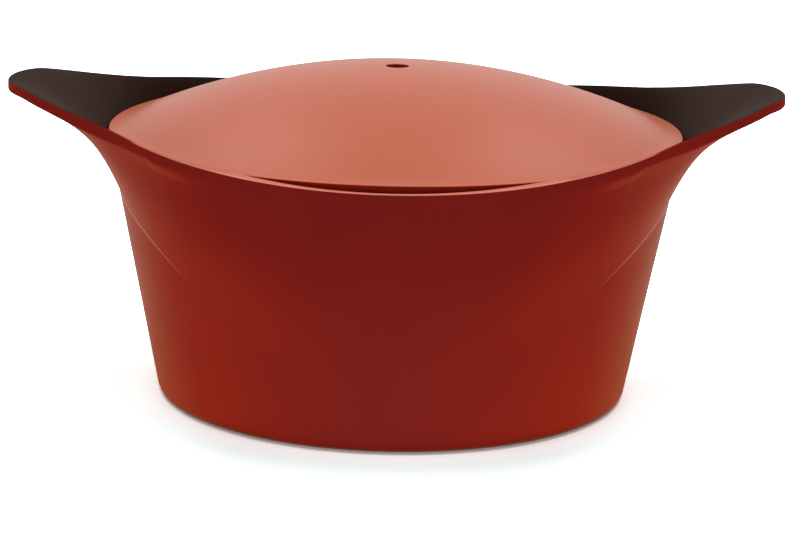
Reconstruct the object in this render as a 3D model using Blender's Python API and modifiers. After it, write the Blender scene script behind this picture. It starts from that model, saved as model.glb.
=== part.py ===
"""Casserole pot with two cast ears, a saddle-shaped rim and a loose domed lid.

Units are metres and +Z is up. The origin is the middle of the base, on the surface that the pot
stands on. +X and -X run out through the ears, and -Y is the front.
"""
import math

import bmesh
import bpy

# Lid, as it lies in its seat
LID_RADIUS = 0.1200
LID_RISE = 0.0263
LID_EDGE_HEIGHT = 0.0047
LID_EDGE_ROUND = 0.0008
LID_BRIM_WIDTH = 0.0130
LID_THICKNESS = 0.0040
LID_SKIRT_DEPTH = 0.0030
LID_SKIRT_WIDTH = 0.0026
VENT_RADIUS = 0.0045
DOME_DROP_SHARE = 0.825

# Pot wall, floor and base
BASE_RADIUS = 0.0993
BASE_CORNER_RADIUS = 0.0035
WALL_THICKNESS = 0.0042
FLOOR_THICKNESS = 0.0060
FLOOR_CORNER_RADIUS = 0.0140

# Rim: lowest at the front and back, bent upwards towards the ears
RIM_HEIGHT = 0.1085
RIM_BEND_RADIUS = 0.5810
RIM_LAND_WIDTH = 0.0034
EAR_LAND_WIDTH = 0.0009
RIM_EDGE_ROUND = 0.0005
SEAT_DEPTH = 0.0025
SEAT_WALL_HEIGHT = 0.0012

# Ears, as the rim's plan and the band that closes its edge
SHOULDER_GROWTH = 0.0046
EAR_LENGTH = 0.0331
EAR_SPREAD = math.radians(19.0)
EAR_FALL = 2.3
EAR_CROWN_SHARE = 0.60
BAND_HEIGHT = 0.0038
SHOULDER_BAND_HEIGHT = 0.0058

# Flare: where the wall turns out towards the rim, as shares of the rim's height
FLARE_START_SHARE = 0.807
FLARE_FALL_SHARE = 1.065
FLARE_LOWEST_SHARE = 0.180
FLARE_BLEND_SHARE = 0.120
FLARE_KINK_SHARE = 0.150
FLARE_RISE_POWER = 2.6
FLARE_TURN_POWER = 0.76

# Angles from the ear's axis between which the rim changes from ear to plain front
SHOULDER_ANGLE = math.radians(45.0)
FRONT_ANGLE = math.radians(70.0)
NOTCH_ANGLE = math.radians(36.0)
NOTCH_END_ANGLE = math.radians(42.0)
LAND_ANGLE = math.radians(48.0)
LAND_END_ANGLE = math.radians(62.0)

# Steel disc let into the base
PLATE_RADIUS = 0.0850
PLATE_THICKNESS = 0.0012
PLATE_EDGE_ROUND = 0.0003

# Clearances
TOUCH_GAP = 0.0003
SEAT_CLEARANCE = 0.0006
SKIRT_CLEARANCE = 0.0012
CUT_OVERRUN = 0.0200
MERGE_DISTANCE = 0.00001

# Fineness
TURN_STEPS = 72
EAR_STEPS = 12
FRONT_STEPS = 10
EAR_STEPS_END = math.radians(30.0)
FLARE_STEPS = 8
CROWN_STEPS = 4
CORNER_STEPS = 4
DOME_STEPS = 9
BRIM_STEPS = 3

# Heights and radii that follow
SEAT_HEIGHT = RIM_HEIGHT - SEAT_DEPTH
SEAT_RADIUS = LID_RADIUS + SEAT_CLEARANCE
RIM_RADIUS = SEAT_RADIUS + RIM_LAND_WIDTH
WALL_LEAN = (LID_RADIUS - BASE_RADIUS) / RIM_HEIGHT
RECESS_RADIUS = PLATE_RADIUS + TOUCH_GAP
RECESS_DEPTH = PLATE_THICKNESS + TOUCH_GAP
QUARTER_TURN = math.pi / 2.0

# Paint and metal
RED_ENAMEL = (0.235, 0.012, 0.010, 1.0)
LID_ENAMEL = (0.560, 0.130, 0.075, 1.0)
BARE_STEEL = (0.560, 0.570, 0.580, 1.0)


def clear_scene():
    """Remove every object that the new file starts with."""
    for old in list(bpy.data.objects):
        bpy.data.objects.remove(old, do_unlink=True)


def new_collection(name):
    """Make a collection in the scene."""
    made = bpy.data.collections.new(name)
    bpy.context.scene.collection.children.link(made)
    return made


def finish(name, colour, roughness, metallic):
    """Make a material with one Principled shader."""
    made = bpy.data.materials.new(name)
    made.use_nodes = True
    shader = made.node_tree.nodes["Principled BSDF"]
    shader.inputs["Base Color"].default_value = colour
    shader.inputs["Roughness"].default_value = roughness
    shader.inputs["Metallic"].default_value = metallic
    made.diffuse_color = colour
    return made


def add_object(name, shape, collection, material=None):
    """Put a bmesh into the scene as an object of its own."""
    mesh = bpy.data.meshes.new(name)
    shape.to_mesh(mesh)
    shape.free()
    made = bpy.data.objects.new(name, mesh)
    collection.objects.link(made)
    if material:
        mesh.materials.append(material)
    return made


def ease(value):
    """Go from 0 to 1 with level ends, as the value goes from 0 to 1."""
    held = min(max(value, 0.0), 1.0)
    return held * held * (3.0 - 2.0 * held)


def between(start, end, share):
    """Point on the way from start to end."""
    return start + (end - start) * share


def corner_arc(centre, radius, start_angle, end_angle):
    """Points of a round corner in the section's plane, both ends included."""
    points = []
    for step in range(CORNER_STEPS + 1):
        angle = between(start_angle, end_angle, step / CORNER_STEPS)
        points.append((centre[0] + radius * math.cos(angle), centre[1] + radius * math.sin(angle)))
    return points


def turned(name, outline, closed, collection, material=None):
    """Turn an outline of (radius, height) points about +Z."""
    shape = bmesh.new()
    corners = [shape.verts.new((radius, 0.0, height)) for radius, height in outline]
    for first, second in zip(corners, corners[1:]):
        shape.edges.new((first, second))
    if closed:
        shape.edges.new((corners[-1], corners[0]))
    made = add_object(name, shape, collection, material)
    screw = made.modifiers.new("turn", "SCREW")
    screw.axis = "Z"
    screw.angle = 2.0 * math.pi
    screw.steps = TURN_STEPS
    screw.render_steps = TURN_STEPS
    screw.use_merge_vertices = True
    screw.merge_threshold = MERGE_DISTANCE
    screw.use_smooth_shade = True
    return made


def make_cutter(cutter):
    """Show a cutter as wires only."""
    cutter.display_type = "WIRE"
    cutter.hide_render = True


def cut(target, cutter):
    """Take the cutter's shape out of the target."""
    boolean = target.modifiers.new(cutter.name, "BOOLEAN")
    boolean.operation = "DIFFERENCE"
    boolean.solver = "EXACT"
    boolean.object = cutter


# Pot body

def wall_radius(height):
    """Outer radius of the plain leaning wall."""
    return BASE_RADIUS + WALL_LEAN * height


def ear_angle(azimuth):
    """Angle from the nearer ear's axis, from 0 to a quarter turn."""
    return math.atan2(abs(math.sin(azimuth)), abs(math.cos(azimuth)))


def rim_reach(angle):
    """Radius of the rim's outer edge: plain at the front, out to the tip along the ear."""
    shoulder = ease((QUARTER_TURN - angle) / (QUARTER_TURN - SHOULDER_ANGLE))
    ear = math.exp(-((angle / EAR_SPREAD) ** EAR_FALL))
    return RIM_RADIUS + SHOULDER_GROWTH * shoulder + EAR_LENGTH * ear


def rim_level(angle):
    """Height of the rim, which follows an upward bend along X."""
    along = rim_reach(angle) * math.cos(angle)
    return RIM_HEIGHT + along * along / (2.0 * RIM_BEND_RADIUS)


def front_share(angle):
    """0 along the ear and its shoulder, 1 across the plain front."""
    return ease((angle - SHOULDER_ANGLE) / (FRONT_ANGLE - SHOULDER_ANGLE))


def land_width(angle, reach):
    """Width of the rim's flat top: a narrow edge on the ear, all of the rim at the front."""
    share = ease((angle - LAND_ANGLE) / (LAND_END_ANGLE - LAND_ANGLE))
    return between(EAR_LAND_WIDTH, reach - SEAT_RADIUS, share)


def flare_level(angle):
    """Height at which the wall starts to turn out, highest under the ear's middle."""
    falling = FLARE_START_SHARE - FLARE_FALL_SHARE * (1.0 - math.cos(angle))
    gap = falling - FLARE_LOWEST_SHARE
    smooth_gap = 0.5 * (gap + math.hypot(gap, FLARE_BLEND_SHARE))
    return RIM_HEIGHT * (FLARE_LOWEST_SHARE + smooth_gap)


def base_corner():
    """Rounded corner between the flat base and the leaning wall, from the base upwards."""
    lean = math.atan(WALL_LEAN)
    tangent = BASE_CORNER_RADIUS * math.tan(0.5 * (QUARTER_TURN - lean))
    centre = (BASE_RADIUS - tangent, BASE_CORNER_RADIUS)
    return corner_arc(centre, BASE_CORNER_RADIUS, -QUARTER_TURN, -lean)


def ear_turn(share):
    """Share of the way out at a share of the way up: a slight kink first, then turning level."""
    turn = 1.0 - (1.0 - share ** FLARE_RISE_POWER) ** FLARE_TURN_POWER
    return FLARE_KINK_SHARE * share + (1.0 - FLARE_KINK_SHARE) * turn


def flare(angle, foot, top):
    """Points from the wall out to the band's lower edge, both ends included."""
    front = front_share(angle)
    spread = top[0] - wall_radius(top[1])
    points = []
    for step in range(FLARE_STEPS + 1):
        share = math.sin(QUARTER_TURN * step / FLARE_STEPS)
        height = between(foot, top[1], share)
        points.append((wall_radius(height) + spread * between(ear_turn(share), ease(share), front), height))
    return points


def ear_top(rim_edge):
    """Points from the land's inner edge down to the top of the seat's wall, crowned a little."""
    foot_level = SEAT_HEIGHT + SEAT_WALL_HEIGHT
    points = []
    for step in range(CROWN_STEPS + 1):
        share = 1.0 - step / CROWN_STEPS
        rise = share + EAR_CROWN_SHARE * share * (1.0 - share)
        points.append((between(SEAT_RADIUS, rim_edge[0], share), between(foot_level, rim_edge[1], rise)))
    return points


def body_section(azimuth):
    """Outline of the body on one azimuth, from the base out, up and in to the seat."""
    angle = ear_angle(azimuth)
    front = front_share(angle)
    reach = rim_reach(angle)
    level = rim_level(angle)
    notch = ease((angle - NOTCH_ANGLE) / (NOTCH_END_ANGLE - NOTCH_ANGLE))
    band = between(BAND_HEIGHT, SHOULDER_BAND_HEIGHT, notch)
    band_foot = (reach - front * WALL_LEAN * band, level - band)
    outline = base_corner()
    outline += flare(angle, flare_level(angle), band_foot)
    outline.append((reach, level - RIM_EDGE_ROUND))
    outline.append((reach - RIM_EDGE_ROUND, level))
    outline += ear_top((reach - land_width(angle, reach), level))
    outline.append((SEAT_RADIUS, SEAT_HEIGHT))
    return outline


def section_azimuths():
    """Azimuths of the sections, closer together across the ears than across the front."""
    quarter = [EAR_STEPS_END * step / EAR_STEPS for step in range(EAR_STEPS)]
    front_span = QUARTER_TURN - EAR_STEPS_END
    quarter += [EAR_STEPS_END + front_span * step / FRONT_STEPS for step in range(FRONT_STEPS)]
    half = quarter + [QUARTER_TURN] + [math.pi - angle for angle in reversed(quarter[1:])]
    return half + [math.pi + angle for angle in half]


def body_blank(collection, material):
    """Loft the body through its sections, with its base and its seat closed by flat faces."""
    shape = bmesh.new()
    columns = []
    for azimuth in section_azimuths():
        column = []
        for radius, height in body_section(azimuth):
            column.append(shape.verts.new((radius * math.cos(azimuth), radius * math.sin(azimuth), height)))
        columns.append(column)
    for column, following in zip(columns, columns[1:] + columns[:1]):
        for row in range(len(column) - 1):
            shape.faces.new((column[row], following[row], following[row + 1], column[row + 1]))
    shape.faces.new([column[-1] for column in columns])
    shape.faces.new([column[0] for column in reversed(columns)])
    for face in shape.faces:
        face.smooth = True
    return add_object("pot_body", shape, collection, material)


def cavity_outline():
    """Outline of the cooking space, from above the seat down to the middle of the floor."""
    lean = math.atan(WALL_LEAN)
    top = wall_radius(SEAT_HEIGHT) - WALL_THICKNESS
    floor_radius = wall_radius(FLOOR_THICKNESS) - WALL_THICKNESS
    tangent = FLOOR_CORNER_RADIUS * math.tan(0.5 * (QUARTER_TURN - lean))
    centre = (floor_radius - tangent, FLOOR_THICKNESS + FLOOR_CORNER_RADIUS)
    outline = [(0.0, SEAT_HEIGHT + CUT_OVERRUN), (top, SEAT_HEIGHT + CUT_OVERRUN), (top, SEAT_HEIGHT)]
    outline += corner_arc(centre, FLOOR_CORNER_RADIUS, -lean, -QUARTER_TURN)
    outline.append((0.0, FLOOR_THICKNESS))
    return outline


def recess_cutter(collection):
    """Cylinder that leaves the shallow recess for the steel disc."""
    shape = bmesh.new()
    bmesh.ops.create_cone(
        shape,
        cap_ends=True,
        segments=TURN_STEPS,
        radius1=RECESS_RADIUS,
        radius2=RECESS_RADIUS,
        depth=2.0 * RECESS_DEPTH,
    )
    return add_object("recess_cutter", shape, collection)


def build_pot_body(parts, cutters):
    """Body: lofted blank, cooking space and base recess."""
    enamel = finish("pot_body_enamel", RED_ENAMEL, 0.42, 0.0)
    body = body_blank(parts, enamel)
    cavity = turned("cavity_cutter", cavity_outline(), False, cutters)
    recess = recess_cutter(cutters)
    for cutter in (cavity, recess):
        make_cutter(cutter)
        cut(body, cutter)
    return body


# Lid

def dome_height(radius):
    """Height of the lid's outer skin above its underside rim, from the crest to the brim's edge."""
    brim_start = LID_RADIUS - LID_BRIM_WIDTH
    crest = LID_EDGE_HEIGHT + LID_RISE
    dome_drop = DOME_DROP_SHARE * LID_RISE
    if radius <= brim_start:
        return crest - dome_drop * (radius / brim_start) ** 2
    slope = 2.0 * dome_drop / brim_start
    along = radius - brim_start
    bend = (slope * LID_BRIM_WIDTH - (LID_RISE - dome_drop)) / LID_BRIM_WIDTH ** 2
    return crest - dome_drop - slope * along + bend * along * along


def lid_outline():
    """Closed outline of the lid's section, from the vent hole out, down and back in."""
    brim_start = LID_RADIUS - LID_BRIM_WIDTH
    skirt_radius = wall_radius(SEAT_HEIGHT) - WALL_THICKNESS - SKIRT_CLEARANCE
    skirt_inside = skirt_radius - LID_SKIRT_WIDTH
    dome = [between(VENT_RADIUS, brim_start, step / DOME_STEPS) for step in range(DOME_STEPS)]
    brim_end = LID_RADIUS - LID_EDGE_ROUND
    brim = [between(brim_start, brim_end, step / BRIM_STEPS) for step in range(BRIM_STEPS)]
    outline = [(radius, dome_height(radius)) for radius in dome + brim]
    edge_top = dome_height(brim_end) - LID_EDGE_ROUND
    outline += reversed(corner_arc((brim_end, edge_top), LID_EDGE_ROUND, 0.0, QUARTER_TURN))
    outline += [
        (LID_RADIUS, LID_EDGE_ROUND),
        (LID_RADIUS - LID_EDGE_ROUND, 0.0),
        (skirt_radius, 0.0),
        (skirt_radius, -LID_SKIRT_DEPTH),
        (skirt_inside, -LID_SKIRT_DEPTH),
    ]
    for step in range(DOME_STEPS + 1):
        radius = between(skirt_inside, VENT_RADIUS, step / DOME_STEPS)
        outline.append((radius, dome_height(radius) - LID_THICKNESS))
    return outline


def build_lid(parts):
    """Lid: one turned casting, open at the vent hole, lying just clear of its seat."""
    enamel = finish("lid_enamel", LID_ENAMEL, 0.45, 0.0)
    lid = turned("lid", lid_outline(), True, parts, enamel)
    lid.location.z = SEAT_HEIGHT + TOUCH_GAP
    return lid


# Steel disc

def build_induction_plate(parts):
    """Flat steel disc that fills the base recess, level with the base."""
    steel = finish("induction_plate_steel", BARE_STEEL, 0.35, 1.0)
    shape = bmesh.new()
    bmesh.ops.create_cone(
        shape,
        cap_ends=True,
        segments=TURN_STEPS,
        radius1=PLATE_RADIUS,
        radius2=PLATE_RADIUS,
        depth=PLATE_THICKNESS,
    )
    plate = add_object("induction_plate", shape, parts, steel)
    plate.location.z = 0.5 * PLATE_THICKNESS
    bevel = plate.modifiers.new("edge", "BEVEL")
    bevel.width = PLATE_EDGE_ROUND
    bevel.segments = 1
    bevel.limit_method = "ANGLE"
    return plate


def main():
    """Build the pot, its lid and its base disc."""
    clear_scene()
    parts = new_collection("casserole_pot")
    cutters = new_collection("cutters")
    body = build_pot_body(parts, cutters)
    lid = build_lid(parts)
    plate = build_induction_plate(parts)
    for piece in (lid, plate):
        piece.parent = body


main()
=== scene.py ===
"""Looks of the casserole pot: enamel, dark inner coating, steel base disc and a plain studio.

Each surface is a numpy grid. One parameter is the azimuth round the pot, the other runs along the
section, so a piece is a row of (radius, height) points on every azimuth. Lengths are metres, +Z is
up, +X runs out through the right ear and -Y is the front.
"""
import logging
import math
from dataclasses import dataclass, field
from enum import Enum

import bpy
import numpy as np
from mathutils import Matrix, Vector


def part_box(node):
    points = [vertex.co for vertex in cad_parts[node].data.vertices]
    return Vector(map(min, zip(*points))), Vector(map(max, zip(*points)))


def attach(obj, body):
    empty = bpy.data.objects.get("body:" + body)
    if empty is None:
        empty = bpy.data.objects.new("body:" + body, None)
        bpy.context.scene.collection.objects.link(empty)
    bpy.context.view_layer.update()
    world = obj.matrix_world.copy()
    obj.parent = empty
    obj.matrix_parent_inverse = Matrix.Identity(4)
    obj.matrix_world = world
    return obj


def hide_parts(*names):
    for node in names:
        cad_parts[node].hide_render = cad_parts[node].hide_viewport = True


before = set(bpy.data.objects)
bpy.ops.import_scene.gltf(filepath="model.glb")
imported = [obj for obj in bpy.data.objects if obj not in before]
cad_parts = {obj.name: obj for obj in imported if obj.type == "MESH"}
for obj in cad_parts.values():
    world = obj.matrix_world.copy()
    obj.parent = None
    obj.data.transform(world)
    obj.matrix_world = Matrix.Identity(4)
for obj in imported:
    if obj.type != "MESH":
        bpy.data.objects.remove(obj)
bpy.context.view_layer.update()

LOG = logging.getLogger("casserole_pot")

Array = np.ndarray
Length = float | Array
Point = tuple[Length, Length]
Pair = tuple[float, float]
Spot = tuple[float, float, float]
Colour = tuple[float, float, float, float]
Socket = bpy.types.NodeSocket
Material = bpy.types.Material
Feed = Socket | float | Colour

QUARTER_TURN = math.pi / 2.0
ROUND_STEPS = 5
ARC_STEPS = 12
SHORTEST = 1.0e-9
CORNER_LIMIT = 0.49
THIN_EDGE = 0.1
TONE_RANGE: Pair = (0.3, 0.9)
BLACK: Colour = (0.0, 0.0, 0.0, 1.0)
WHITE: Colour = (1.0, 1.0, 1.0, 1.0)

# Sockets of the Mix node, which has its own for numbers and for colours
MIX_SHARE = 0
NUMBERS_IN, NUMBER_OUT = (2, 3), 0
COLOURS_IN, COLOUR_OUT = (6, 7), 2


# Shared mathematics

def ease(value: Length) -> Length:
    """Go from 0 to 1 with level ends, 3v^2 - 2v^3, as the value goes from 0 to 1."""
    held = np.clip(value, 0.0, 1.0)
    return held * held * (3.0 - 2.0 * held)


def between(start: Length, end: Length, share: Length) -> Length:
    """Point on the way from start to end: start plus the share of the difference."""
    return start + (end - start) * share


def between_points(start: Point, end: Point, share: float) -> Point:
    """Point on the way from one (radius, height) point to another."""
    return between(start[0], end[0], share), between(start[1], end[1], share)


def ramp(value: Length, start: Length, end: Length) -> Length:
    """Go straight from 0 at the start to 1 at the end, and stay level beyond both."""
    return np.clip((value - start) / (end - start), 0.0, 1.0)


def rise(value: Length, start: Length, end: Length) -> Length:
    """Go from 0 at the start to 1 at the end with eased ends."""
    return ease(ramp(value, start, end))


def bell(value: Length, middle: Length, spread: float, power: float = 2) -> Length:
    """Bell round the middle: exp(-(distance / spread)^power)."""
    return np.exp(-(((value - middle) / spread) ** power))


def soft_greater(first: Length, second: Length, blend: float) -> Length:
    """The greater of two values with its corner rounded: half their sum plus half of a hypotenuse."""
    return 0.5 * (first + second + np.hypot(first - second, blend))


def shares(steps: int) -> Array:
    """Evenly spaced values from 0 to 1, both included."""
    return np.linspace(0.0, 1.0, steps + 1)


def column(value: Length) -> Array:
    """A value for each azimuth, as a column that spreads along the section."""
    return np.reshape(np.asarray(value, dtype=float), (-1, 1))


def degrees(first: float, last: float) -> Pair:
    """Range of angles, given in degrees."""
    return math.radians(first), math.radians(last)


class Ends(Enum):
    """How a section closes: on the axis at both ends, or back on its own first point."""

    POLES = "poles"
    RING = "ring"


@dataclass
class Outline:
    """Section of one piece on every azimuth, gathered run by run.

    Each run holds radii, heights and a mark: 1 where the enamel has the most painted light, 0 where it
    is plain and -1 where painted shade keeps it deep from every side.
    """

    azimuths: Array
    radii: list[Array] = field(default_factory=list)
    heights: list[Array] = field(default_factory=list)
    marks: list[Array] = field(default_factory=list)

    def add(self, radii: Length, heights: Length, mark: Length = 0.0) -> None:
        """Append a run of points.

        Args:
            radii: Distances from the axis, one row per azimuth or one row for all.
            heights: Heights, in the same form.
            mark: Share of painted light above 0 and painted shade below 0, in the same form or one number.
        """
        shape = (len(self.azimuths), np.broadcast(radii, heights).shape[-1])
        self.radii.append(np.broadcast_to(radii, shape))
        self.heights.append(np.broadcast_to(heights, shape))
        self.marks.append(np.broadcast_to(mark, shape))

    def line(self, start: Point, end: Point, steps: int, mark: Length = 0.0) -> None:
        """Append a straight run, both ends included.

        Args:
            start: Radius and height where it starts, each a number or one value per azimuth.
            end: Radius and height where it ends.
            steps: Number of equal steps.
            mark: Share of painted light above 0 and painted shade below 0.
        """
        ends = zip(map(column, start), map(column, end))
        self.add(*(between(first, last, shares(steps)) for first, last in ends), mark)

    def arc(self, centre: Point, radius: float, turn: Pair, steps: int, mark: Length = 0.0) -> None:
        """Append a round run: centre plus the radius times the cosine and sine of the angle.

        Args:
            centre: Radius and height of the arc's centre.
            radius: The arc's own radius.
            turn: First and last angle, from the outward direction.
            steps: Number of equal steps.
            mark: Share of painted light above 0 and painted shade below 0.
        """
        angle = between(turn[0], turn[1], shares(steps))
        radii = column(centre[0]) + radius * np.cos(angle)
        self.add(radii, column(centre[1]) + radius * np.sin(angle), mark)

    def corner(self, before: Point, at: Point, after: Point, size: Length, mark: Length = 0.0) -> None:
        """Append a rounded corner: a quadratic curve from one side of it to the other.

        Args:
            before: A point back along the section, which gives the first direction.
            at: The sharp corner.
            after: A point further along, which gives the last direction.
            size: How far along each side the round starts.
            mark: Share of painted light above 0 and painted shade below 0.
        """
        share = shares(ROUND_STEPS)
        weights = ((1.0 - share) ** 2, 2.0 * share * (1.0 - share), share ** 2)
        sides = []
        for point in (before, after):
            way = (point[0] - at[0], point[1] - at[1])
            length = np.maximum(np.hypot(*way), SHORTEST)
            reach = np.minimum(size, CORNER_LIMIT * length) / length
            sides.append([column(start + part * reach) for start, part in zip(at, way)])
        parts = zip(sides[0], map(column, at), sides[1])
        self.add(*(weights[0] * a + weights[1] * b + weights[2] * c for a, b, c in parts), mark)

    def corners(self, points: tuple[Point, ...], size: float) -> None:
        """Append a rounded corner at each inner point of a broken line.

        Args:
            points: The line's points, both ends included.
            size: How far along each side a round starts.
        """
        for before, at, after in zip(points, points[1:], points[2:]):
            self.corner(before, at, after, size)

    def joined(self) -> tuple[Array, Array, Array]:
        """All runs side by side: radii, heights and marks, one row per azimuth."""
        return tuple(np.concatenate(part, axis=1) for part in (self.radii, self.heights, self.marks))


def even_azimuths(count: int) -> Array:
    """Azimuths all the way round, evenly spaced, without the last that repeats the first."""
    return np.arange(count) * (2.0 * math.pi / count)


def skin(path: Outline, proud: float, sunk: float, feather: int) -> Outline:
    """Turn the path of a coated surface into the closed section of the thin coat on it.

    The coat's face is the path moved out along its normal, (dh, -dr) over the step's length, and its
    hidden back is the path moved in. Both come close together at the coat's edge.

    Args:
        path: The surface that is coated, with its free edge first.
        proud: How far the coat's face stands out.
        sunk: How far its back lies inside the wall.
        feather: Number of points over which the coat thins out towards its edge.

    Returns:
        The section, back first and face last.
    """
    radii, heights, marks = path.joined()
    step_radius, step_height = np.gradient(radii, axis=1), np.gradient(heights, axis=1)
    length = np.maximum(np.hypot(step_radius, step_height), SHORTEST)
    full = between(THIN_EDGE, 1.0, ease(np.arange(radii.shape[1]) / feather))
    coat = Outline(path.azimuths)
    for distance, order in ((-sunk, slice(None, None, -1)), (proud, slice(None))):
        moved_radius = np.maximum(radii + distance * full * step_height / length, 0.0)
        moved_height = heights - distance * full * step_radius / length
        coat.add(moved_radius[:, order], moved_height[:, order], marks[:, order])
    return coat


def add_object(name: str, data: bpy.types.ID) -> bpy.types.Object:
    """Make an object of a mesh, lamp or camera and put it in the scene.

    Args:
        name: The object's name.
        data: The mesh, lamp or camera.

    Returns:
        The new object.
    """
    made = bpy.data.objects.new(name, data)
    bpy.context.scene.collection.objects.link(made)
    return made


def loft(name: str, outline: Outline, ends: Ends) -> bpy.types.Object:
    """Make a closed mesh from the section on every azimuth.

    A point is (radius cos azimuth, radius sin azimuth, height). Each step round and along gives a
    four-sided face, and a section that ends on the axis has one shared point and triangles there.

    Args:
        name: The piece's name.
        outline: Its section, bottom run outwards and top run inwards.
        ends: How the section closes.

    Returns:
        The new object, at the origin, with its marks of painted light and shade in the attribute "pale".
    """
    radii, heights, marks = outline.joined()
    cosine, sine = column(np.cos(outline.azimuths)), column(np.sin(outline.azimuths))
    points = np.stack([radii * cosine, radii * sine, heights], axis=-1)
    poles = [points[0, 0], points[0, -1]]
    if ends is Ends.POLES:
        points, marks = points[:, 1:-1], marks[:, 1:-1]
    turns, rows = marks.shape
    index = np.arange(turns * rows).reshape(turns, rows)
    following = np.roll(index, -1, axis=0)
    if ends is Ends.RING:
        index = np.concatenate([index, index[:, :1]], axis=1)
        following = np.concatenate([following, following[:, :1]], axis=1)
    quads = np.stack([index[:, :-1], following[:, :-1], following[:, 1:], index[:, 1:]], axis=-1)
    faces = quads.reshape(-1, 4).tolist()
    vertices, values = points.reshape(-1, 3), marks.reshape(-1)
    if ends is Ends.POLES:
        first, last = len(vertices), len(vertices) + 1
        faces += np.stack([np.full(turns, first), following[:, 0], index[:, 0]], axis=-1).tolist()
        faces += np.stack([np.full(turns, last), index[:, -1], following[:, -1]], axis=-1).tolist()
        vertices = np.concatenate([vertices, poles])
        values = np.concatenate([values, np.zeros(2)])
    mesh = bpy.data.meshes.new(name)
    mesh.from_pydata(vertices.tolist(), [], faces)
    painted_light = mesh.attributes.new("painted_light", "FLOAT", "POINT")
    painted_light.data.foreach_set("value", values.astype(np.float32))
    mesh.shade_smooth()
    mesh.update()
    return add_object(name, mesh)


# Node groups and finishes

class Effect(Enum):
    """Effects that more than one finish uses, each a node group."""

    GRAIN = "powder grain"
    PAINTED_LIGHT = "pale share"
    TURNED = "turned lines"


class Sheet:
    """A node tree that nodes are added to and linked in."""

    def __init__(self, tree: bpy.types.NodeTree) -> None:
        """Keep the tree."""
        self.tree = tree

    def feed(self, node: bpy.types.Node, inputs: dict) -> None:
        """Give each named input another node's output, or a value to set.

        Args:
            node: The node that takes them.
            inputs: What goes into each input.
        """
        for name, value in inputs.items():
            if isinstance(value, Socket):
                self.tree.links.new(value, node.inputs[name])
            else:
                node.inputs[name].default_value = value

    def add(self, kind: str, inputs: dict | None = None, **settings) -> bpy.types.Node:
        """Add a node.

        Args:
            kind: The node's type name.
            inputs: What goes into each input.
            **settings: Properties of the node.

        Returns:
            The new node.
        """
        node = self.tree.nodes.new(kind)
        for name, value in settings.items():
            setattr(node, name, value)
        self.feed(node, inputs or {})
        return node

    def maths(self, operation: str, first: Feed, second: Feed = 0.0, third: Feed = 0.0) -> Socket:
        """Add a Math node and give its output."""
        values = {0: first, 1: second, 2: third}
        return self.add("ShaderNodeMath", values, operation=operation).outputs[0]

    def ranged(self, value: Socket, source: Pair, target: Pair = (0.0, 1.0)) -> Socket:
        """Carry a value smoothly from one range to another.

        Args:
            value: The output to carry over.
            source: The range that it comes in, low and high.
            target: The range that it goes to.

        Returns:
            The new value.
        """
        limits = {"From Min": source[0], "From Max": source[1], "To Min": target[0], "To Max": target[1]}
        inputs = {"Value": value, **limits}
        return self.add("ShaderNodeMapRange", inputs, interpolation_type="SMOOTHSTEP").outputs["Result"]

    def blended(self, share: Feed, first: Feed, second: Feed) -> Socket:
        """Mix two colours by a share and give the mixed colour."""
        inputs = {MIX_SHARE: share, COLOURS_IN[0]: first, COLOURS_IN[1]: second}
        return self.add("ShaderNodeMix", inputs, data_type="RGBA").outputs[COLOUR_OUT]

    def noise(self, place: Socket, scale: Feed, detail: float) -> Socket:
        """Add a noise and give its value."""
        inputs = {"Vector": place, "Scale": scale, "Detail": detail}
        return self.add("ShaderNodeTexNoise", inputs).outputs["Fac"]

    def distance(self, place: Socket, centre: Spot = (0.0, 0.0, 0.0)) -> Socket:
        """Measure how far a place is from a centre."""
        return self.add("ShaderNodeVectorMath", {0: place, 1: centre}, operation="DISTANCE").outputs["Value"]

    def axes(self, place: Socket) -> bpy.types.NodeOutputs:
        """Split a place into X, Y and Z."""
        return self.add("ShaderNodeSeparateXYZ", {"Vector": place}).outputs

    def effect(self, effect: Effect, **inputs) -> bpy.types.NodeOutputs:
        """Place one of the shared effects with its own values, and give its outputs."""
        return self.add("ShaderNodeGroup", inputs, node_tree=bpy.data.node_groups[effect.value]).outputs


def new_group(effect: Effect, takes: dict, gives: tuple[str, ...]) -> tuple[Sheet, dict, bpy.types.Node]:
    """Start a shader node group with named sockets.

    Args:
        effect: Which effect it makes.
        takes: Each input's name, with "vector" or the number that it starts at.
        gives: The outputs' names, all plain values.

    Returns:
        The group's sheet, its inputs by name, and its output node.
    """
    tree = bpy.data.node_groups.new(effect.value, "ShaderNodeTree")
    for name, start in takes.items():
        kind = "NodeSocketVector" if start == "vector" else "NodeSocketFloat"
        socket = tree.interface.new_socket(name, in_out="INPUT", socket_type=kind)
        if start != "vector":
            socket.default_value = start
    for name in gives:
        tree.interface.new_socket(name, in_out="OUTPUT", socket_type="NodeSocketFloat")
    sheet = Sheet(tree)
    source = sheet.add("NodeGroupInput")
    return sheet, {name: source.outputs[name] for name in takes}, sheet.add("NodeGroupOutput")


SLOW_SCALE, MOTTLE_SCALE, CELL_SCALE, BREAK_SCALE = 28.0, 420.0, 170.0, 160.0
SOFT_DETAIL, FULL_DETAIL = 2.0, 3.0
SPECK_EDGE: Pair = (0.03, 0.09)
MOTTLE_IN_HEIGHT, MOTTLE_IN_TONE = 0.25, 0.2


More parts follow.
